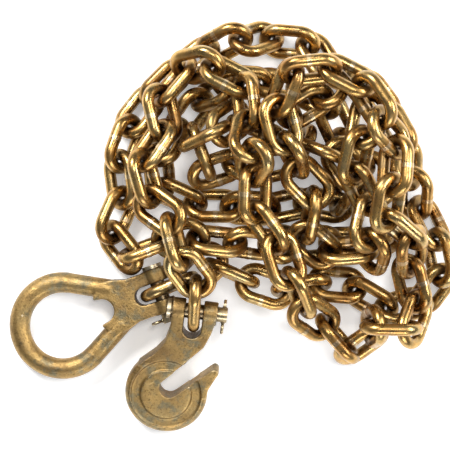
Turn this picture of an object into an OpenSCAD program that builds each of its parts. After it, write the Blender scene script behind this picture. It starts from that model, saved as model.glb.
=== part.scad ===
// Truck safety chain with a clevis grab hook at one end and a clevis pear link at the other,
// resting in a heap. Millimetres, +Z up. Floor at z = 0.

/* [Chain] */
// Wire diameter of every chain link
link_wire = 8; // [6:0.5:10]
// Inside length (pitch) of a chain link
link_pitch = 26; // [22:0.5:32]
// Inside width of a chain link
link_inner_width = 12; // [10:0.5:14]
// Play between one link and the next
link_slack = 1.2; // [0.5:0.1:2]
// Number of links between the two end fittings
link_count = 110; // [20:1:140]
// Diameter of the flash-weld bead on one side bar of each link
weld_bead_d = 8.4; // [8:0.1:9]
// Length of the flash-weld bead
weld_bead_length = 3; // [1:0.5:5]

/* [Clevis pins] */
// Diameter of both clevis pins
pin_d = 10; // [8:0.5:11]
// Radial running clearance of a pin in its ears
pin_clearance = 0.05; // [0.02:0.01:0.1]
// Diameter of the pin head
pin_head_d = 13.5; // [12:0.5:18]
// Thickness of the pin head
pin_head_t = 2.5; // [2:0.5:5]
// Wire diameter of each cotter leg pair
cotter_d = 3; // [2:0.1:4]

/* [Clevis] */
// Gap between the two ears
slot_width = 12; // [9:0.5:14]
// Distance from the pin centre down to the bottom of the slot
slot_depth = 17; // [15:0.5:22]
// Outside radius of an ear around the pin
ear_r = 8; // [7:0.5:11]
// Width over both ears along the pin
ear_span = 31; // [26:1:38]

/* [Grab hook] */
// Outside radius of the hook bowl
bowl_r = 27.5; // [22:0.5:34]
// Width of the throat that grips one chain link
throat_width = 13; // [9:0.5:15]
// Thickness of the hook body
hook_t = 15; // [12:0.5:20]

/* [Pear link] */
// Bar diameter of the pear ring
pear_bar_d = 14; // [10:0.5:18]
// Inside radius of the wide end of the pear eye
pear_eye_r = 22; // [16:0.5:30]
// Distance from the clevis pin to the centre of the wide end
pear_reach = 70; // [60:1:90]

// The heap values, link_count and the pear link's swing were picked from trial sweeps for clear links.
/* [Heap] */
// Vertical room that one strand leaves another where they cross squarely
strand_gap = 22; // [20:0.5:26]
// Steepest climb of a strand over another one
climb = 0.9; // [0.4:0.05:2]
// Half length of the level crest where a strand crosses another
crest = 3; // [0:1:14]
// Slope of the last strand down to the grab hook
hook_descent = 1.6; // [0.5:0.1:2.5]

/* [Hidden] */
arc_r = (link_inner_width + link_wire) / 2;
half_bar = (link_pitch - link_inner_width) / 2;
joint_span = 2 * arc_r - link_wire - link_slack;
link_reach = joint_span + 2 * half_bar;
twist_limit = 9;
swing_limit = 0.75;

// plan route of the chain from the pear link (first, lowest) to the grab hook (last, on top):
// x, y, and the roll of the strand about its own axis measured from the even cross-lay
route = [
  [-45, -38, -45], [-30, -35, -45], [-14, -24, -40], [4, -30, -20], [22, -42, -10], [46, -42, 0],
  [70, -38, 0], [94, -44, 0], [118, -52, 0], [136, -42, 0], [140, -18, 0], [134, 6, 0], [132, 32, 0],
  [122, 54, 0], [108, 74, 0], [90, 92, 0], [70, 106, 0], [52, 124, 0], [30, 122, 0], [8, 114, 0],
  [-16, 114, 0], [-34, 100, 0], [-50, 84, 0], [-64, 66, 0], [-70, 46, 0], [-66, 28, 0], [-78, 12, 0],
  [-70, -8, 0], [-52, -14, 0], [-30, -8, 0], [-4, -10, 0], [22, -18, 0], [48, -14, 0], [74, -12, 0],
  [100, -18, 0], [112, 2, 0], [108, 26, 0], [98, 50, 0], [82, 70, 0], [60, 88, 0], [34, 98, 0],
  [8, 96, 0], [-14, 86, 0], [-34, 68, 0], [-40, 44, 0], [-34, 20, 0], [-12, 14, 0], [14, 12, 0],
  [38, 10, 0], [62, 10, 0], [84, 18, 0], [84, 42, 0], [64, 54, 0], [40, 50, 0], [18, 38, 0],
  [-4, 32, 0], [-22, 42, 0], [-16, 64, 0], [4, 72, 0], [26, 72, 0], [46, 72, 0], [62, 78, 0],
  [78, 96, 0], [86, 74, 0], [82, 46, 0], [92, 18, 0], [90, -6, 0], [84, -26, 0], [70, -36, 0],
  [56, -24, 0], [54, -4, 0], [54, 14, 0], [54, 34, 0], [46, 56, 0], [38, 78, 0], [52, 98, 0], [74, 98, 0],
  [94, 82, 0], [104, 58, 0], [104, 30, 0], [106, -3, 0], [118, -24, 0], [120, -44, 0], [108, -62, 0], [92, -72, 0],
  [73, -68, 0], [54, -58, 0], [46, -38, 0], [38, -18, 0], [22, -4, 0], [14, 18, 0], [28, 42, 0],
  [16, 64, 0], [8, 86, -5], [-6, 102, -9], [-24, 101, -14], [-38, 88, -22], [-45, 64, -32],
  [-52, 40, -40], [-44, 16, -45], [-32, -4, -45], [-22, -27, -45], [-18.5, -42, -45],
  [-21.5, -59.5, -45]
];

function unit(v) = v / norm(v);
function clamp(x, lo, hi) = min(hi, max(lo, x));
function pick(list, i) = list[clamp(i, 0, len(list) - 1)];
function spline(a, b, c, d, t) =
  0.5 * (2 * b + (c - a) * t + (2 * a - 5 * b + 4 * c - d) * t * t + (3 * b - a - 3 * c + d) * t * t * t);

// route cut into short equal steps
step = 6;
plan = [
  for (i = [0:len(route) - 2])
    let (n = ceil(norm([route[i + 1].x - route[i].x, route[i + 1].y - route[i].y]) / step))
      for (j = [0:n - 1]) spline(pick(route, i - 1), route[i], route[i + 1], pick(route, i + 2), j / n),
  route[len(route) - 1]
];
last = len(plan) - 1;
same_strand = ceil(2.2 * strand_gap / step);
window = 8;

// earlier samples lying under each sample, with the height they hold it at
under = [
  for (k = [0:last]) [
    for (j = [0:1:k - same_strand])
      let (dx = plan[k].x - plan[j].x, dy = plan[k].y - plan[j].y, d2 = dx * dx + dy * dy)
        if (d2 < strand_gap * strand_gap) [j, pow(pow(strand_gap, 4) - d2 * d2, 1 / 4)]
  ]
];

rest_z = arc_r + link_wire / 2;
floor_z = [for (k = [0:last]) (arc_r + 0.2) * max(abs(sin(45 + plan[k].z)), abs(cos(45 + plan[k].z))) + 4];
function drop(z) = [for (k = [0:last]) max([floor_z[k], each [for (c = under[k]) z[c[0]] + c[1]]])];
function bridge(z) = [
  for (k = [0:last])
    max([for (m = [max(0, k - window):min(last, k + window)]) z[m] - climb * max(0, abs(m - k) * step - crest)])
];
function settle(z, n) = n == 0 ? z : settle(bridge(drop(z)), n - 1);
height = settle(floor_z, 12);

// the strand in space
path = [for (k = [0:last]) [plan[k].x, plan[k].y, min(height[k], rest_z + hook_descent * (last - k) * step)]];

function ahead(c, k) = k >= last || norm(path[k] - c) >= link_reach ? k : ahead(c, k + 1);
function roll_of(u, n) = let (s = unit(cross([0, 0, 1], u)), t = cross(u, s)) atan2(n * t, n * s);
function turn(v, u, a) = v * cos(a) + cross(u, v) * sin(a) + u * (u * v) * (1 - cos(a));
function wrap(a) = a - 180 * round(a / 180);

// one link hung on link s with its far end shifted by the offset and rolled a little:
// [centre, long axis, plane normal, sample reached, index]
function hang(s, offset, roll) =
  let (
    c = s[0] + half_bar * s[1],
    k = ahead(c, s[3]),
    a = path[max(0, k - 1)],
    da = norm(a - c),
    db = norm(path[k] - c),
    t = db > da ? clamp((link_reach - da) / (db - da), 0, 1) : 1,
    along = unit([path[k].x - a.x, path[k].y - a.y, 0]),
    g = a + (path[k] - a) * t + [-along.y * offset.x, along.x * offset.x, offset.y] - c,
    w = unit(g - (g * s[2]) * s[2]),
    side = clamp((g * s[2]) / (2 * half_bar), -swing_limit, swing_limit),
    u = sqrt(1 - side * side) * w + side * s[2],
    flat_n = cross(s[2], w),
    want = 45 + plan[k].z + 90 * (s[4] + 1) + roll,
    n = turn(flat_n, u, clamp(wrap(want - roll_of(u, flat_n)), -twist_limit, twist_limit))
  )
  [c + joint_span * w + half_bar * u, u, n, k, s[4] + 1];

// closest approach of the centre lines of two links
ring_samples = 20;
ring = [
  for (i = [0:ring_samples - 1])
    let (a = 360 * (i + 0.5) / ring_samples) [arc_r * cos(a) + half_bar * sign(cos(a)), arc_r * sin(a)]
];
function to_ring(q) = norm([norm([max(abs(q.x) - half_bar, 0), q.y]) - arc_r, q.z]);
function gap(a, b) =
  let (va = cross(a[2], a[1]), vb = cross(b[2], b[1]), o = a[0] - b[0])
    min([for (p = ring) let (q = o + p.x * a[1] + p.y * va) to_ring([q * b[1], q * vb, q * b[2]])]);
function lowest(l) = l[0].z - half_bar * abs(l[1].z) - arc_r * norm([l[2].x, l[2].y]) - link_wire / 2;

// how badly a link would foul the floor and the links already laid, from 0 for clear
function fouling(l, placed) =
  max(0, -lowest(l))
  + sum_of([
    for (j = [0:1:len(placed) - 1])
      if (norm(l[0] - placed[j][0]) < 42)
        let (room = j == len(placed) - 1 ? 0.25 : 0.7) max(0, link_wire + room - gap(l, placed[j]))
  ]);
function sum_of(v, i = 0) = i >= len(v) ? 0 : v[i] + sum_of(v, i + 1);

// ways to hang a link, tried in turn: sideways shift, rise and roll
tries = [
  for (rise = [0, 3, 7, 12])
    for (shift = [0, 5, -5])
      for (roll = [0, 9, -9]) [[shift, rise], roll]
];
// ways to ease a whole run of links over an obstacle: sideways shift and rise
eases = [[0, 0], [0, 5], [5, 5], [-5, 5], [0, 10], [8, 8], [-8, 8], [0, 15], [0, 20]];
run_back = 3;
// two links moved aside where strands lie close, picked from a trial sweep: [index, [sideways, rise]]
nudges = [[60, [4, 0]], [73, [-4, 10]]];
function nudge(i) = let (found = [for (m = nudges) if (m[0] == i) m[1]]) len(found) > 0 ? found[0] : [0, 0];

function settle_link(placed, ease, i, best, best_score) =
  i == len(tries) || best_score == 0 ? concat(best, [best_score])
  : let (
      l = hang(placed[len(placed) - 1], tries[i][0] + ease + nudge(len(placed)), tries[i][1]),
      f = fouling(l, placed),
      better = f < best_score
    )
    settle_link(placed, ease, i + 1, better ? l : best, better ? f : best_score);

// lays a run of links with one ease: [links, total fouling]
function lay_run(placed, ease, n, total = 0) =
  n == 0 || len(placed) == link_count ? [placed, total]
  : let (l = settle_link(placed, ease, 0, [], 1e6)) lay_run(concat(placed, [l]), ease, n - 1, total + l[5]);
function head(list, n) = [for (i = [0:1:n - 1]) list[i]];
function best_run(placed, e, best) =
  e == len(eases) || best[1] == 0 ? best
  : let (r = lay_run(placed, eases[e], run_back + 1)) best_run(placed, e + 1, r[1] < best[1] ? r : best);

// lays the chain link by link and goes back a few links wherever one would foul
function lay_chain(placed) =
  len(placed) == link_count ? placed
  : let (l = settle_link(placed, [0, 0], 0, [], 1e6))
    l[5] == 0 || len(placed) <= run_back ? lay_chain(concat(placed, [l]))
    : let (r = best_run(head(placed, len(placed) - run_back), 1, [concat(placed, [l]), l[5]]))
      lay_chain(r[0]);

pear_heading = 9;
first_u = [cos(pear_heading), sin(pear_heading), 0];
first_n = [sin(pear_heading), -cos(pear_heading), 0];
first_link = [[route[0].x, route[0].y, rest_z] + half_bar * first_u, first_u, first_n, 0, 1];
links = lay_chain([first_link]);

// the bounding box's bottom centre, where the model's origin goes
origin = [3.63, -0.46, 0];

// end fittings: each hangs on the arc centre of the last link at its end of the chain. Their
// own frame has the clevis pin along x, the chain toward +y and the body toward -y
hook_skew = 4;
pear_skew = -3;
hook_end = links[link_count - 1];
hook_pin_at = hook_end[0] + half_bar * hook_end[1];
hook_yaw = atan(hook_end[2].y / hook_end[2].x) - hook_skew;

// the first link swings sideways about the second one, which keeps the pear link off the heap
pear_swing = 14.5;
pear_hinge_at = links[1][0] - half_bar * links[1][1];
pear_end = [
  pear_hinge_at + turn(links[0][0] - pear_hinge_at, links[1][2], pear_swing),
  turn(links[0][1], links[1][2], pear_swing), turn(links[0][2], links[1][2], pear_swing)
];
pear_pin_at = pear_end[0] - half_bar * pear_end[1];
pear_yaw = 90 + atan(pear_end[2].y / pear_end[2].x) + pear_skew;

// clevis
slot_r = slot_width / 2;
ear_x = ear_span / 2;
bore_d = pin_d + 2 * pin_clearance;
pin_end_x = ear_x + 6.5;
cotter_x = ear_x + 4.2;
cotter_wire = 2;
cotter_eye_r = 3;

// grab hook outline
bowl = [-11.7, -58.3];
throat = [-10, -53.8];
throat_angle = 45;
throat_mouth = 16;
throat_run = 60;
hook_far = norm([bowl.y - bowl_r, 0]);
rim = 5;
hook_rest_reach = norm([hook_far, hook_t / 2]);
hook_tilt = asin(hook_pin_at.z / hook_rest_reach) - atan(hook_t / 2 / hook_far);
shank = [
  [-14.5, -2], [-14.5, -12], [-17, -23], [-22.5, -30.5], [-33, -40.5], [-16, -50], [-0.5, -33.5],
  [9.6, -22], [13, -12.8], [15.5, -2]
];
tip = [[15.6, -58], [15.8, -52], [20, -42.5], [21.5, -38.6], [15.9, -37.4], [-5.3, -58.5]];
tip_r = 2.9;
tip_at = [18.6, -39.4];
recess_in = 17;
recess_out = 23.5;
recess_depth = 1.5;

// pear link outline
ring_r = pear_eye_r + pear_bar_d / 2;
arm_angle = 28.5;
arm_start = [ring_r * cos(arm_angle), ring_r * sin(arm_angle) - pear_reach];
arm_length = 30;
arm_d = pear_bar_d - 0.4;
neck_t = 12.6;
eye_tip_r = 8;
eye_tip_y = -41;
neck = [
    [-15, -2], [-15, -20], [-17.5, -27], [-18.5, -38], [-10, -44],
    [10, -44], [18.5, -38], [17.5, -27], [15, -20], [15, -2]
];
pear_tilt = asin((pear_pin_at.z - pear_bar_d / 2) / (pear_reach + ring_r));

// links that hang free at the two ends of the chain, each in its own node
loose_links = [
  ["hook_end_link_1", links[link_count - 1]], ["hook_end_link_2", links[link_count - 2]],
  ["hook_end_link_3", links[link_count - 3]], ["pear_end_link", pear_end]
];
group_size = 3;
heap_last = link_count - 4;
heap_groups = ceil(heap_last / group_size);
function heap_name(g) = str("heap_links_", g < 10 ? "0" : "", g);

module zinc() { color([0.74, 0.57, 0.27]) children(); }
module forged() { color([0.62, 0.48, 0.25]) children(); }

module chain_link() {
  for (end = [0, 180])
    rotate([0, 0, end]) translate([half_bar, 0, 0]) rotate([0, 0, -90])
      rotate_extrude(angle = 180, $fn = 48) translate([arc_r, 0]) circle(d = link_wire, $fn = 32);
  for (side = [-1, 1])
    translate([-half_bar, side * arc_r, 0]) rotate([0, 90, 0])
      cylinder(d = link_wire, h = 2 * half_bar, $fn = 32);
  translate([-weld_bead_length / 2, arc_r, 0]) rotate([0, 90, 0])
    cylinder(d = weld_bead_d, h = weld_bead_length, $fn = 32);
}

module link_at(l) {
  v = cross(l[2], l[1]);
  multmatrix([
    [l[1].x, v.x, l[2].x, l[0].x], [l[1].y, v.y, l[2].y, l[0].y], [l[1].z, v.z, l[2].z, l[0].z]
  ]) chain_link();
}

module heap_group(g) {
  first = group_size * (g - 1) + 1;
  zinc() placed() for (i = [first:min(first + group_size - 1, heap_last)]) link_at(links[i]);
}

module placed() { translate(-origin) children(); }
module at_hook() {
  placed() translate(hook_pin_at) rotate([0, 0, hook_yaw]) rotate([hook_tilt, 0, 0]) children();
}
module at_pear() {
  placed() translate(pear_pin_at) rotate([0, 0, pear_yaw - 90]) rotate([pear_tilt, 0, 0]) children();
}

module along_x(from, to, d) {
  translate([from, 0, 0]) rotate([0, 90, 0]) cylinder(d = d, h = to - from, $fn = 48);
}
module plate(points, t) { translate([0, 0, -t / 2]) linear_extrude(t) polygon(points); }

// slot that takes the chain's last link, with a round bottom, and the pin bore across it
module clevis_cut() {
  translate([0, slot_r - slot_depth, 0]) cylinder(r = slot_r, h = 40, center = true, $fn = 48);
  translate([-slot_r, slot_r - slot_depth, -20]) cube([slot_width, 40, 40]);
  along_x(-30, 30, bore_d);
}

// disc with a rounded rim
module bowl_disc() {
  flat = hook_t / 2 - rim;
  translate(bowl) rotate_extrude($fn = 96) union() {
    polygon([[0, -hook_t / 2], [bowl_r - rim, -hook_t / 2], [bowl_r - rim, hook_t / 2], [0, hook_t / 2]]);
    polygon([[0, -flat], [bowl_r, -flat], [bowl_r, flat], [0, flat]]);
    for (side = [-1, 1]) translate([bowl_r - rim, side * flat]) circle(r = rim, $fn = 48);
  }
}

module grab_hook() {
  forged() at_hook() difference() {
    union() {
      bowl_disc();
      plate(shank, hook_t);
      plate(tip, hook_t);
      translate([tip_at.x, tip_at.y, -hook_t / 2]) cylinder(r = tip_r, h = hook_t, $fn = 32);
      along_x(-ear_x + 1, ear_x, 2 * ear_r);
    }
    clevis_cut();
    throat_cut();
    for (face = [-1, 1]) recess(face);
  }
}

module throat_cut() {
  translate([throat.x, throat.y, -20]) rotate([0, 0, throat_angle]) {
    cylinder(d = throat_width, h = 40, $fn = 48);
    linear_extrude(40) polygon([
      [0, -throat_width / 2], [throat_run, -throat_mouth / 2], [throat_run, throat_mouth / 2],
      [0, throat_width / 2]
    ]);
  }
}

// shallow groove around the bowl on one face
module recess(face) {
  translate([bowl.x, bowl.y, face * (hook_t / 2 - recess_depth / 2 + 0.5)]) difference() {
    cylinder(r = recess_out, h = recess_depth + 1, center = true, $fn = 96);
    cylinder(r = recess_in, h = recess_depth + 2, center = true, $fn = 96);
  }
}

// clevis pin with its head at -x and the cotter hole near the +x end
module clevis_pin() {
  difference() {
    union() {
      along_x(-ear_x - pin_head_t, -ear_x, pin_head_d);
      along_x(-ear_x - 1, pin_end_x, pin_d);
    }
    translate([cotter_x, 0, 0]) rotate([90, 0, 0]) cylinder(d = cotter_d + 0.1, h = 20, center = true, $fn = 32);
  }
}

// split pin through the clevis pin: an eye at one side, two legs spread at the other
module cotter() {
  translate([cotter_x, 0, 0]) {
    rotate([90, 0, 0]) cylinder(d = cotter_d, h = pin_d + 1.6, center = true, $fn = 32);
    translate([0, -pin_d / 2 - cotter_eye_r - 1.2, 0]) rotate([0, 90, 0])
      rotate_extrude($fn = 32) translate([cotter_eye_r, 0]) circle(d = cotter_wire, $fn = 24);
    for (side = [-1, 1])
      translate([0, pin_d / 2 + 0.6, 0]) rotate([-90 + side * 55, 0, 0])
        cylinder(d = cotter_wire, h = 5.5, $fn = 24);
  }
}

module grab_hook_pin() { zinc() at_hook() clevis_pin(); }
module grab_hook_cotter() { zinc() at_hook() cotter(); }

module pear_link() {
  forged() at_pear() difference() {
    union() {
      translate([0, -pear_reach, 0]) rotate([0, 0, 180 - arm_angle])
        rotate_extrude(angle = 180 + 2 * arm_angle, $fn = 96)
          translate([ring_r, 0]) circle(d = pear_bar_d, $fn = 48);
      for (side = [-1, 1])
        translate([side * arm_start.x, arm_start.y, 0]) rotate([-90, 0, side * arm_angle])
          translate([0, 0, -1]) cylinder(d = arm_d, h = arm_length, $fn = 48);
      plate(neck, neck_t);
      along_x(-ear_x, ear_x, 2 * ear_r);
    }
    clevis_cut();
    translate([0, eye_tip_y, 0]) cylinder(r = eye_tip_r, h = 40, center = true, $fn = 48);
    plate([[-eye_tip_r, eye_tip_y], [-10, -50], [10, -50], [eye_tip_r, eye_tip_y]], 40);
  }
}
module pear_link_pin() { zinc() at_pear() clevis_pin(); }
module pear_link_cotter() { zinc() at_pear() cotter(); }

grab_hook();
grab_hook_pin();
grab_hook_cotter();
pear_link();
pear_link_pin();
pear_link_cotter();
for (l = loose_links) zinc() placed() link_at(l[1]);
for (g = [1:heap_groups]) heap_group(g);
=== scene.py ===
"""Yellow-zinc safety chain in a heap, with its clevis grab hook and clevis pear link."""
import math

import bmesh
import bpy
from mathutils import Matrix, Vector


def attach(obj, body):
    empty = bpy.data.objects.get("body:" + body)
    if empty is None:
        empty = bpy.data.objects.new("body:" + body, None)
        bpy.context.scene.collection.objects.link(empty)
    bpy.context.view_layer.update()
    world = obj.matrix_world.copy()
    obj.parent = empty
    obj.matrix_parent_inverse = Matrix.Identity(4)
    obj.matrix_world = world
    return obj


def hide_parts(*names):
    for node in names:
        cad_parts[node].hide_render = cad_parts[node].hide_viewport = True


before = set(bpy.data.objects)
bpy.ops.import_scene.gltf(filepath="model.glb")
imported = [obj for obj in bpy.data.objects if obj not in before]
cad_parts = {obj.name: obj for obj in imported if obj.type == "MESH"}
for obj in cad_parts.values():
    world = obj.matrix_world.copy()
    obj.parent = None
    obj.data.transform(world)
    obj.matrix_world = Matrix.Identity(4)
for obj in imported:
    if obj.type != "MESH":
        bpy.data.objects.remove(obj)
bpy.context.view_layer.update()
MM = 0.001

# the camera looks straight down on a square field, as far off as a product photographer stands
FIELD = 300 * MM
CAMERA_HEIGHT = 1.6
CAMERA_XY = (-3.6 * MM, 0.5 * MM)
FOCUS_Z = 22 * MM
SENSOR = 36.0

LIGHTS_AIM = (0, 0, 30 * MM)
# just under the links, so that the floor and the lowest wires don't flicker in one plane
FLOOR_Z = -0.2 * MM
FLOOR_HALF_SIZE = 4

# colours that every zinc finish shares
GREY_GREEN = (0.17, 0.17, 0.12, 1)
BROWN_SPECK = (0.12, 0.08, 0.03, 1)
# partly rubbed wear and partly a painted highlight: the pale colour that convex edges are brightened towards
RUBBED_EDGE_AND_HIGHLIGHT = (0.93, 0.82, 0.6, 1)
# painted shade: the dark colour that recesses are pulled towards, and how far the occlusion looks, standing
# in for the shade deep in the heap
PAINTED_RECESS_SHADE = (0.07, 0.035, 0.012, 1)
RECESS_SHADE_REACH = 14 * MM
SCRATCH_DEPTH = 0.05 * MM
# scratches per metre along each axis, so that they run in streaks
SCRATCH_SCALE = (900, 160, 420)
# faces that meet at more than this keep a sharp edge between them
SHARP_ANGLE = math.radians(35)
HAMMER_SCALE = 4 * MM


def add_camera():
    data = bpy.data.cameras.new("camera")
    data.sensor_width = SENSOR
    data.lens = SENSOR * (CAMERA_HEIGHT - FOCUS_Z) / FIELD
    data.clip_start, data.clip_end = 0.05, 20
    camera = bpy.data.objects.new("camera", data)
    camera.location = (*CAMERA_XY, CAMERA_HEIGHT)
    bpy.context.scene.collection.objects.link(camera)
    bpy.context.scene.camera = camera


def add_area(name, place, size, power, colour=(1, 1, 1), size_y=None):
    data = bpy.data.lights.new(name, "AREA")
    data.energy, data.size, data.color = power, size, colour
    if size_y:
        data.shape, data.size_y = "RECTANGLE", size_y
    light = bpy.data.objects.new(name, data)
    light.location = place
    light.rotation_mode = "QUATERNION"
    light.rotation_quaternion = (Vector(LIGHTS_AIM) - Vector(place)).to_track_quat("-Z", "Y")
    bpy.context.scene.collection.objects.link(light)


def add_studio():
    add_area("key_softbox", (-0.55, 0.75, 0.95), 0.5, 17, (1.0, 0.98, 0.95), 0.35)
    add_area("strip_right", (0.85, 0.15, 0.7), 0.7, 9, (1.0, 0.99, 0.97), 0.16)
    add_area("fill_front", (0.1, -0.95, 0.55), 0.7, 5, (0.97, 0.98, 1.0), 0.25)
    add_area("top_strip", (0.15, 0.2, 1.3), 0.16, 5, (1, 1, 1), 0.5)
    world = bpy.data.worlds.new("studio")
    world.use_nodes = True
    background = world.node_tree.nodes["Background"]
    background.inputs["Color"].default_value = (0.62, 0.64, 0.68, 1)
    background.inputs["Strength"].default_value = 0.3
    bpy.context.scene.world = world
    bpy.context.scene.view_settings.view_transform = "Standard"


class Nodes:
    """A material's node tree with short calls."""

    def __init__(self, name):
        self.material = bpy.data.materials.new(name)
        self.material.use_nodes = True
        self.tree = self.material.node_tree
        self.shader = self.tree.nodes["Principled BSDF"]

    def add(self, kind, inputs=None, **settings):
        node = self.tree.nodes.new(kind)
        for key, value in settings.items():
            setattr(node, key, value)
        for key, value in (inputs or {}).items():
            if isinstance(value, bpy.types.NodeSocket):
                self.tree.links.new(value, node.inputs[key])
            else:
                node.inputs[key].default_value = value
        return node

    def noise(self, place, scale, detail=4.0, rough=0.55):
        found = self.add(
            "ShaderNodeTexNoise",
            {"Vector": place, "Scale": scale, "Detail": detail, "Roughness": rough},
        )
        return found.outputs["Fac"]

    def ramp(self, fac, stops):
        node = self.add("ShaderNodeValToRGB", {"Fac": fac})
        elements = node.color_ramp.elements
        while len(elements) < len(stops):
            elements.new(0.5)
        for element, (at, colour) in zip(elements, stops):
            element.position = at
            element.color = (*colour, 1)
        return node.outputs["Color"]

    def span(self, value, low, high, from_low=0.3, from_high=0.7):
        node = self.add(
            "ShaderNodeMapRange",
            {"Value": value, "From Min": from_low, "From Max": from_high, "To Min": low, "To Max": high},
        )
        return node.outputs["Result"]

    def mix(self, fac, a, b):
        node = self.add("ShaderNodeMix", data_type="RGBA")
        for key, value in ((0, fac), (6, a), (7, b)):
            if isinstance(value, bpy.types.NodeSocket):
                self.tree.links.new(value, node.inputs[key])
            else:
                node.inputs[key].default_value = value
        return node.outputs[2]

    def put(self, name, value):
        if isinstance(value, bpy.types.NodeSocket):
            self.tree.links.new(value, self.shader.inputs[name])
        else:
            self.shader.inputs[name].default_value = value


def yellow_zinc(name, bright, deep, stain, gloss, grain, grain_depth, mottle):
    """Dichromated zinc: gold that drifts to russet, mottled with grey-green where the skin is
    thick, with painted shade darkening the recesses, rubbed bright on raised edges with a painted highlight
    there too, over a surface of the given grain."""
    m = Nodes(name)
    place = m.add("ShaderNodeTexCoord").outputs["Object"]
    drift = m.noise(place, 45, 3)
    patch = m.noise(place, 160, 5, 0.6)
    fine = m.noise(place, grain, 6, 0.65)
    colour = m.ramp(drift, [(0.32, deep), (0.5, bright), (0.68, stain)])
    colour = m.mix(m.span(patch, 0.0, 0.55, 0.45, 0.7), colour, (*deep, 1))
    cloudy = m.noise(place, 95, 6, 0.7)
    colour = m.mix(m.span(cloudy, 0.0, mottle, 0.5, 0.62), colour, GREY_GREEN)
    speck = m.noise(place, 700, 4, 0.7)
    colour = m.mix(m.span(speck, 0.0, mottle, 0.52, 0.66), colour, BROWN_SPECK)
    # rubbed wear and painted highlight: convex edges, found by pointiness, are mixed towards the pale edge
    # colour
    worn_and_highlit = m.span(m.add("ShaderNodeNewGeometry").outputs["Pointiness"], 0.0, 0.5, 0.52, 0.6)
    colour = m.mix(worn_and_highlit, colour, RUBBED_EDGE_AND_HIGHLIGHT)
    # painted shade: ambient occlusion darkens the base colour where neighbouring wires close in
    open_air = m.add("ShaderNodeAmbientOcclusion", {"Distance": RECESS_SHADE_REACH}, samples=6).outputs["AO"]
    m.put("Base Color", m.mix(m.span(open_air, 0.88, 0.0, 0.15, 0.85), colour, PAINTED_RECESS_SHADE))
    m.put("Metallic", 1.0)
    m.put("Roughness", m.span(patch, gloss, gloss + 0.2))
    pits = m.span(fine, 0, 1, 0.3, 0.75)
    streaks = m.add("ShaderNodeMapping", {"Vector": place, "Scale": SCRATCH_SCALE})
    scratches = m.add(
        "ShaderNodeTexNoise",
        {"Vector": streaks.outputs["Vector"], "Scale": 1.0, "Detail": 3.0},
    ).outputs["Fac"]
    bump = m.add("ShaderNodeBump", {"Height": scratches, "Strength": 0.18, "Distance": SCRATCH_DEPTH})
    bump = m.add(
        "ShaderNodeBump",
        {"Height": pits, "Strength": 0.5, "Distance": grain_depth, "Normal": bump.outputs["Normal"]},
    )
    m.put("Normal", bump.outputs["Normal"])
    return m.material


def floor_material():
    m = Nodes("pale_floor")
    place = m.add("ShaderNodeTexCoord").outputs["Object"]
    m.put("Base Color", m.ramp(m.noise(place, 3, 2), [(0.3, (0.93, 0.93, 0.93)), (0.7, (0.95, 0.95, 0.95))]))
    m.put("Roughness", 0.9)
    m.put("Emission Color", (1, 1, 1, 1))
    m.put("Emission Strength", 0.28)
    return m.material


def add_floor():
    mesh = bpy.data.meshes.new("floor")
    form = bmesh.new()
    bmesh.ops.create_grid(form, x_segments=1, y_segments=1, size=FLOOR_HALF_SIZE)
    form.to_mesh(mesh)
    form.free()
    floor = bpy.data.objects.new("floor", mesh)
    floor.location.z = FLOOR_Z
    floor.data.materials.append(floor_material())
    bpy.context.scene.collection.objects.link(floor)


def forged_copy(node, material, voxel=0.55 * MM, rounds=9, relief=0.12 * MM):
    """A drop-forged skin over a CAD forging: its edges rounded and its faces slightly uneven."""
    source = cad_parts[node]
    piece = bpy.data.objects.new(node + "_forging", source.data.copy())
    bpy.context.scene.collection.objects.link(piece)
    remesh = piece.modifiers.new("skin", "REMESH")
    remesh.mode, remesh.voxel_size, remesh.use_smooth_shade = "VOXEL", voxel, True
    smooth = piece.modifiers.new("rounded_edges", "SMOOTH")
    smooth.factor, smooth.iterations = 0.5, rounds
    texture = bpy.data.textures.new(node + "_hammer", "CLOUDS")
    texture.noise_scale = HAMMER_SCALE
    uneven = piece.modifiers.new("uneven", "DISPLACE")
    uneven.texture, uneven.strength, uneven.mid_level = texture, relief, 1.0
    bpy.context.view_layer.update()
    ready = bpy.data.meshes.new_from_object(piece.evaluated_get(bpy.context.evaluated_depsgraph_get()))
    piece.modifiers.clear()
    piece.data = ready
    ready.materials.clear()
    ready.materials.append(material)
    for face in ready.polygons:
        face.use_smooth = True
    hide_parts(node)
    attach(piece, node)


def dress(node, material):
    """A CAD node keeps its shape and takes the material, shaded smooth except at real edges."""
    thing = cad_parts[node]
    thing.data.materials.clear()
    thing.data.materials.append(material)
    for face in thing.data.polygons:
        face.use_smooth = True
    thing.data.set_sharp_from_angle(angle=SHARP_ANGLE)


add_camera()
add_studio()
add_floor()

chain_zinc = yellow_zinc(
    "chain_zinc", (0.58, 0.36, 0.12), (0.34, 0.17, 0.05), (0.5, 0.35, 0.14), 0.19, 1400, 0.06 * MM, 0.4
)
forged_zinc = yellow_zinc(
    "forged_zinc", (0.46, 0.3, 0.11), (0.27, 0.17, 0.07), (0.4, 0.29, 0.13), 0.33, 800, 0.3 * MM, 0.75
)
pin_zinc = yellow_zinc(
    "pin_zinc", (0.6, 0.47, 0.27), (0.4, 0.32, 0.2), (0.62, 0.55, 0.4), 0.26, 1600, 0.05 * MM, 0.5
)
FORGED = ("grab_hook", "pear_link")
for node_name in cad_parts:
    if node_name in FORGED:
        forged_copy(node_name, forged_zinc)
    elif "pin" in node_name or "cotter" in node_name:
        dress(node_name, pin_zinc)
    else:
        dress(node_name, chain_zinc)
